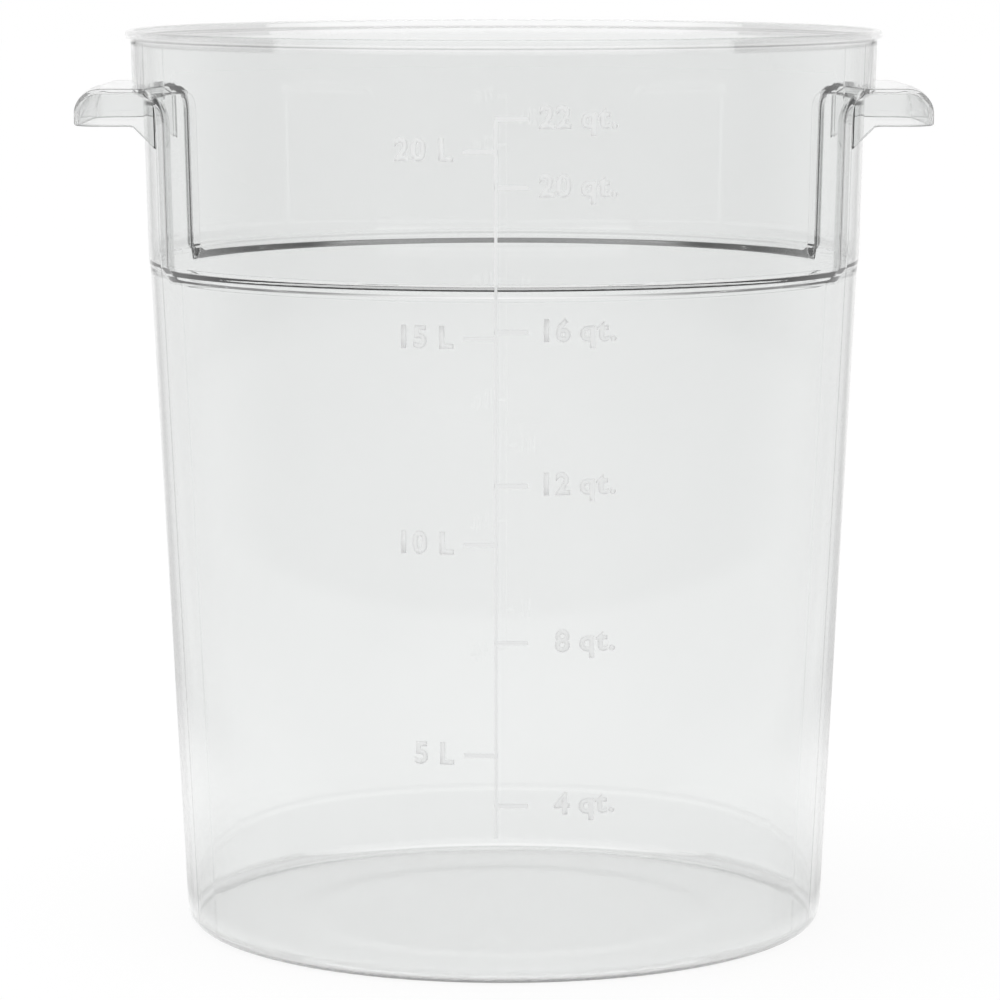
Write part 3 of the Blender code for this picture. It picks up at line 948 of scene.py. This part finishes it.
def wrap_on_wall(mesh, shell, marks):
    """Bends flat marks round the front wall, a hair off its face."""
    count = len(mesh.vertices)
    places = np.empty(count * 3)
    mesh.vertices.foreach_get("co", places)
    across, out, height = places.reshape(count, 3).T
    angles = -math.pi / 2 + across / shell.outer(-math.pi / 2, height)
    radius = shell.outer(angles, height) + MARK_GAP + marks.relief / 2 - out
    bent = np.stack((radius * np.cos(angles), radius * np.sin(angles), height), axis=1)
    mesh.vertices.foreach_set("co", bent.ravel())
    mesh.update()


def frosted_material(finish):
    """The same plastic with a finely frosted face."""
    material = bpy.data.materials.new("frosted_polycarbonate")
    nodes = Nodes(material)
    shader = nodes.tree.nodes["Principled BSDF"]
    shader.inputs["Base Color"].default_value = (*finish.frosted, 1.0)
    shader.inputs["IOR"].default_value = finish.refraction
    place = nodes.add("ShaderNodeTexCoord").outputs["Object"]
    grain = nodes.add("ShaderNodeTexNoise", Vector=place, Scale=FROST_SCALE, Detail=FROST_DETAIL)
    nodes.feed(shader.inputs["Roughness"], nodes.ramp(grain.outputs["Fac"], *NOISE_RANGE, *FROST_ROUGHNESS))
    return material


class CONTAINER_OT_marks(bpy.types.Operator):
    """Build the raised volume scale: its line, ticks and numerals."""

    bl_idname = "container.marks"
    bl_label = "Volume scale"

    def execute(self, context):
        scene = context.scene
        marks = scene.container_marks
        shell = Shell(scene.container_moulding)
        finish = frosted_material(scene.container_finish)
        parts = [flat_ticks(marks, finish), flat_line(marks, shell)] + figures(marks)
        scale = joined(parts, "volume_scale_marks")
        wrap_on_wall(scale.data, shell, marks)
        scale.data.materials.clear()
        scale.data.materials.append(finish)
        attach(scale, "root")
        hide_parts("volume_scale")
        return {"FINISHED"}


WHITE = (1.0, 1.0, 1.0, 1.0)
SENSOR_WIDTH = 36.0
# Each pair below is where a change of level starts and ends
# Angles from straight behind the object to where the white sweep ends and the room in front begins
SWEEP_ANGLES = (math.radians(17.0), math.radians(25.0))
FRONT_ANGLES = (math.radians(45.0), math.radians(105.0))
FLANK_LEVEL = 0.77
ROOM_LEVEL = 0.06
# Upward share of a direction at which the ceiling and the bright patch overhead begin
CEILING_SHARES = (0.33, 0.40)
CEILING_LEVEL = 0.25
OVERHEAD_SHARES = (0.80, 0.95)
OVERHEAD_LEVEL = 0.9
# The floor's plane
FLOOR_HALF_WIDTH = 12.0
FLOOR_DROP = 0.2 * MM
FLOOR_ROUGHNESS = 0.9
# Distances on the floor, whose tone and glow through the plastic are painted light and shade: where its white
# painted pool of light behind the object ends, where painted shade darkens its front part and the painted
# dark room begins, and where the painted bright pool under the foot ends
PAINTED_LIGHT_RADII = (0.30, 0.65)
PAINTED_SHADE_RADII = (0.1, 2.2)
PAINTED_SHADE_LEVELS = (0.55, 0.36)
PAINTED_ROOM_RADII = (1.55, 1.85)
# Painted pool of light under the base, brighter than white, for rays through the plastic
PAINTED_POOL_RADII = (0.135, 0.165)
PAINTED_POOL_LEVEL = 1.11
# Light on matt faces, the floor's colour for them, and how its tone for the eye is split in shadow and glow
WORLD_LIGHT = 0.85
FLOOR_COLOUR = 0.85
FLOOR_SHADOW = 0.12
FLOOR_GLOW = 0.90
# The lamp over the object
LAMP_WIDTH = 1.6
LAMP_PLACE = Vector((-0.6, -0.4, 2.4))
LAMP_AIM = Vector((0.0, 0.0, 0.15))
LAMP_POWER = 10.0


def round_levels(nodes, x, y):
    """How bright the studio is behind and beside the object, and how much of it is the room in front."""
    turn = nodes.maths("ARCTAN2", nodes.maths("ABSOLUTE", x), y)
    around = nodes.ramp(turn, *SWEEP_ANGLES, 1.0, FLANK_LEVEL)
    front = nodes.ramp(turn, *FRONT_ANGLES, 0.0, 1.0)
    return around, front


def light_kinds(nodes):
    """Whether a ray comes from the eye, and whether it left the plastic."""
    path = nodes.add("ShaderNodeLightPath")
    glass = nodes.maths("MAXIMUM", path.outputs["Is Transmission Ray"], path.outputs["Is Glossy Ray"])
    return path.outputs["Is Camera Ray"], glass


def make_camera(scene, stage):
    """The camera at the photograph's angle."""
    data = bpy.data.cameras.new("photo_camera")
    data.lens = stage.lens
    data.sensor_width = SENSOR_WIDTH
    data.shift_x = stage.shift
    camera = bpy.data.objects.new("photo_camera", data)
    camera.location = (0.0, -stage.distance, stage.height)
    camera.rotation_euler = (math.pi / 2 - stage.pitch, 0.0, 0.0)
    scene.collection.objects.link(camera)
    scene.camera = camera


def floor_material():
    """Pale matt floor, white to the eye, with the object's soft shadow; through the plastic it shows painted
    light and shade.
    """
    material = bpy.data.materials.new("pale_floor")
    nodes = Nodes(material)
    matt = nodes.tree.nodes["Principled BSDF"]
    matt.inputs["Roughness"].default_value = FLOOR_ROUGHNESS
    matt.inputs["Specular IOR Level"].default_value = 0.0
    place = nodes.add("ShaderNodeTexCoord").outputs["Object"]
    split = nodes.add("ShaderNodeSeparateXYZ", Vector=place)
    x, y = split.outputs["X"], split.outputs["Y"]
    squares = nodes.maths("ADD", nodes.maths("MULTIPLY", x, x), nodes.maths("MULTIPLY", y, y))
    radius = nodes.maths("SQRT", squares)
    around, front = round_levels(nodes, x, y)
    # Painted light and shade for rays through the plastic: a white pool near the object, painted shade at the
    # flanks
    behind = nodes.mix(nodes.ramp(radius, *PAINTED_LIGHT_RADII, 0.0, 1.0), 1.0, around)
    # Painted shade: the floor in front darkens with distance, and beyond it lies a painted dark room
    painted_shade = nodes.ramp(radius, *PAINTED_SHADE_RADII, *PAINTED_SHADE_LEVELS)
    room = nodes.mix(nodes.ramp(radius, *PAINTED_ROOM_RADII, 0.0, 1.0), painted_shade, ROOM_LEVEL)
    # Painted pool of light: under the base the floor's tone and glow through the plastic rise above white
    foot = nodes.ramp(radius, *PAINTED_POOL_RADII, 1.0, 0.0)
    studio = nodes.mix(foot, nodes.mix(front, behind, room), PAINTED_POOL_LEVEL)
    camera, glass = light_kinds(nodes)
    seen = nodes.maths("MAXIMUM", camera, glass)
    level = nodes.mix(camera, nodes.mix(glass, 1.0, studio), 1.0)
    tone = nodes.maths("MULTIPLY", level, nodes.mix(seen, FLOOR_COLOUR, FLOOR_SHADOW))
    colour = nodes.add("ShaderNodeCombineColor", Red=tone, Green=tone, Blue=tone)
    nodes.feed(matt.inputs["Base Color"], colour.outputs["Color"])
    matt.inputs["Emission Color"].default_value = WHITE
    glow = nodes.maths("MULTIPLY", nodes.maths("MULTIPLY", seen, level), FLOOR_GLOW)
    nodes.feed(matt.inputs["Emission Strength"], glow)
    return material


def make_floor():
    """The floor, a hair below the container's base."""
    mesh = bpy.data.meshes.new("floor")
    half = FLOOR_HALF_WIDTH
    corners = [(-half, -half, 0.0), (half, -half, 0.0), (half, half, 0.0), (-half, half, 0.0)]
    mesh.from_pydata(corners, [], [(0, 1, 2, 3)])
    floor = linked("floor", mesh)
    floor.location.z = -FLOOR_DROP
    floor.data.materials.append(floor_material())


def make_world(scene):
    """The studio: white behind, greyer flanks, a dark ceiling and room, and plain light for matt faces."""
    world = bpy.data.worlds.new("studio")
    scene.world = world
    nodes = Nodes(world)
    back = nodes.tree.nodes["Background"]
    place = nodes.add("ShaderNodeTexCoord").outputs["Generated"]
    split = nodes.add("ShaderNodeSeparateXYZ", Vector=place)
    around, front = round_levels(nodes, split.outputs["X"], split.outputs["Y"])
    height = split.outputs["Z"]
    above = nodes.ramp(height, *CEILING_SHARES, 1.0, CEILING_LEVEL)
    overhead = nodes.ramp(height, *OVERHEAD_SHARES, 0.0, OVERHEAD_LEVEL - CEILING_LEVEL)
    room = nodes.ramp(height, *OVERHEAD_SHARES, ROOM_LEVEL, OVERHEAD_LEVEL)
    ceiling = nodes.maths("ADD", above, overhead)
    studio = nodes.mix(front, nodes.maths("MULTIPLY", around, ceiling), room)
    camera, glass = light_kinds(nodes)
    plain = nodes.mix(camera, WORLD_LIGHT, 1.0)
    nodes.feed(back.inputs["Strength"], nodes.mix(glass, plain, studio))
    back.inputs["Color"].default_value = WHITE


def make_lamp(scene):
    """The soft square lamp, which the plastic doesn't mirror."""
    data = bpy.data.lights.new("softbox", "AREA")
    data.shape = "SQUARE"
    data.size = LAMP_WIDTH
    data.energy = LAMP_POWER
    lamp = bpy.data.objects.new("softbox", data)
    lamp.location = LAMP_PLACE
    lamp.rotation_euler = (LAMP_AIM - LAMP_PLACE).to_track_quat("-Z", "Y").to_euler()
    lamp.visible_glossy = False
    lamp.visible_transmission = False
    scene.collection.objects.link(lamp)


class CONTAINER_OT_stage(bpy.types.Operator):
    """Build the camera, floor and studio light."""

    bl_idname = "container.stage"
    bl_label = "Studio"

    def execute(self, context):
        scene = context.scene
        scene.view_settings.view_transform = "Standard"
        make_camera(scene, scene.container_stage)
        make_floor()
        make_world(scene)
        make_lamp(scene)
        return {"FINISHED"}


class CONTAINER_PT_panel(bpy.types.Panel):
    """Sidebar panel with every piece of the container."""

    bl_label = "Clear food storage container"
    bl_idname = "CONTAINER_PT_panel"
    bl_space_type = "VIEW_3D"
    bl_region_type = "UI"
    bl_category = "Container"

    def draw(self, context):
        column = self.layout.column()
        column.operator("container.moulding")
        column.operator("container.marks")
        column.operator("container.stage")


CLASSES = (MouldingSizes, GripSizes, MarkSizes, FinishSettings, StageSettings, CONTAINER_OT_moulding,
           CONTAINER_OT_marks, CONTAINER_OT_stage, CONTAINER_PT_panel)
SETTINGS = (("container_moulding", MouldingSizes), ("container_grip", GripSizes),
            ("container_marks", MarkSizes), ("container_finish", FinishSettings),
            ("container_stage", StageSettings))


def register():
    """Makes the settings, operators and panel known to Blender."""
    for item in CLASSES:
        bpy.utils.register_class(item)
    for name, group in SETTINGS:
        setattr(bpy.types.Scene, name, bpy.props.PointerProperty(type=group))


def unregister():
    """Takes them out again."""
    for name, _ in SETTINGS:
        delattr(bpy.types.Scene, name)
    for item in reversed(CLASSES):
        bpy.utils.unregister_class(item)


def main():
    """Builds the studio and both pieces."""
    register()
    bpy.ops.container.stage()
    bpy.ops.container.moulding()
    bpy.ops.container.marks()


if __name__ == "__main__":
    main()
